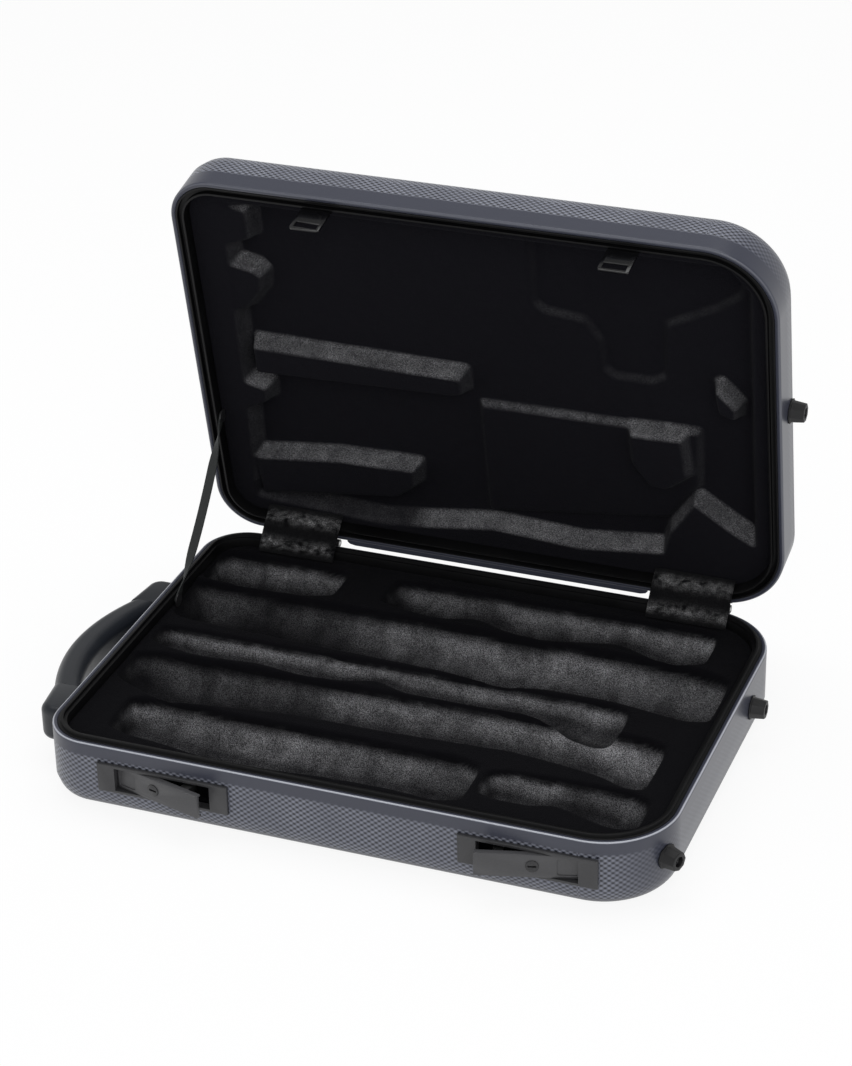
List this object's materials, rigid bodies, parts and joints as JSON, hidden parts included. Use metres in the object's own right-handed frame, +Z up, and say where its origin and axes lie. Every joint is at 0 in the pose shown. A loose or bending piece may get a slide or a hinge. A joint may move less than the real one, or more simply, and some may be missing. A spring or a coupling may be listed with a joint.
{
  "type": "hinged hard case for a pair of clarinets",
  "caption": "Open hard case with a moulded plush lining for a pair of clarinets, lever latches with key locks, a hinged lid, a stay strap, a side handle and feet.",
  "frame": {"origin": "centre of the underside of the base, on the plane the case rests on", "axes": "+X runs along the case to the end with the feet, +Y from the latches to the hinges, +Z up; the lid stands open"},
  "size_m": [0.4355, 0.3276, 0.3242],
  "materials": {
    "shell": "fine diamond weave, fading to smooth at the ends",
    "rim": "satin black",
    "lining": "short black plush",
    "strap": "flat dark webbing",
    "latch": "dark matt coating on cast metal",
    "lock": "dark with bright edges",
    "dark_metal": "black coated plate",
    "steel": "plain",
    "grip": "satin, slightly soft",
    "feet": "dull"
  },
  "bodies": {
    "base": {"base_foot_front": "feet", "base_foot_rear": "feet", "base_foot_screws": "steel", "base_hinge_rivets": "steel", "base_lining": "lining", "base_rim": "rim", "base_shell": "shell", "handle_bracket_front": "grip", "handle_bracket_rear": "grip", "handle_grip": "grip", "handle_screws": "steel", "hinge_cover_left": "lining", "hinge_cover_right": "lining", "hinge_leaf_base_left": "dark_metal", "hinge_leaf_base_right": "dark_metal", "hinge_pin_left": "steel", "hinge_pin_right": "steel", "latch_pin_left": "steel", "latch_pin_right": "steel", "latch_plate_left": "latch", "latch_plate_right": "latch", "latch_spring_left": "steel", "latch_spring_right": "steel", "stay_strap": "strap", "strap_anchor_base": "dark_metal"},
    "lid": {"lid_shell": "shell", "lid_rim": "rim", "lid_lining": "lining", "striker_left": "dark_metal", "striker_right": "dark_metal", "striker_screws": "steel", "hinge_leaf_lid_left": "dark_metal", "hinge_leaf_lid_right": "dark_metal", "lid_hinge_rivets": "steel", "lid_foot": "feet", "lid_foot_screw": "steel", "strap_anchor_lid": "dark_metal"},
    "lever_left": {"latch_lever_left": "latch", "latch_catch_left": "steel"},
    "lock_left": {"lock_cylinder_left": "lock", "lock_cam_left": "steel"},
    "lever_right": {"latch_lever_right": "latch", "latch_catch_right": "steel"},
    "lock_right": {"lock_cylinder_right": "lock", "lock_cam_right": "steel"}
  },
  "joints": [
    {"name": "lid_hinge", "type": "hinge", "parent": "base", "child": "lid", "pos_m": [0, 0.14, 0.04715], "axis": [1, 0, 0], "range_deg": [0, 78.6], "deforming": ["stay_strap", "hinge_cover_left", "hinge_cover_right"]},
    {"name": "latch_left_swing", "type": "hinge", "parent": "base", "child": "lever_left", "pos_m": [-0.1265, -0.136, 0.0268], "axis": [0, 0, 1], "range_deg": [0, 15]},
    {"name": "latch_right_swing", "type": "hinge", "parent": "base", "child": "lever_right", "pos_m": [0.133, -0.136, 0.0268], "axis": [0, 0, -1], "range_deg": [0, 15]},
    {"name": "lock_left_turn", "type": "hinge", "parent": "lever_left", "child": "lock_left", "pos_m": [-0.11491, -0.13911, 0.0268], "axis": [-0.2588, -0.9659, 0], "range_deg": [0, 90]},
    {"name": "lock_right_turn", "type": "hinge", "parent": "lever_right", "child": "lock_right", "pos_m": [0.12141, -0.13911, 0.0268], "axis": [-0.2588, 0.9659, 0], "range_deg": [0, 90]}
  ]
}
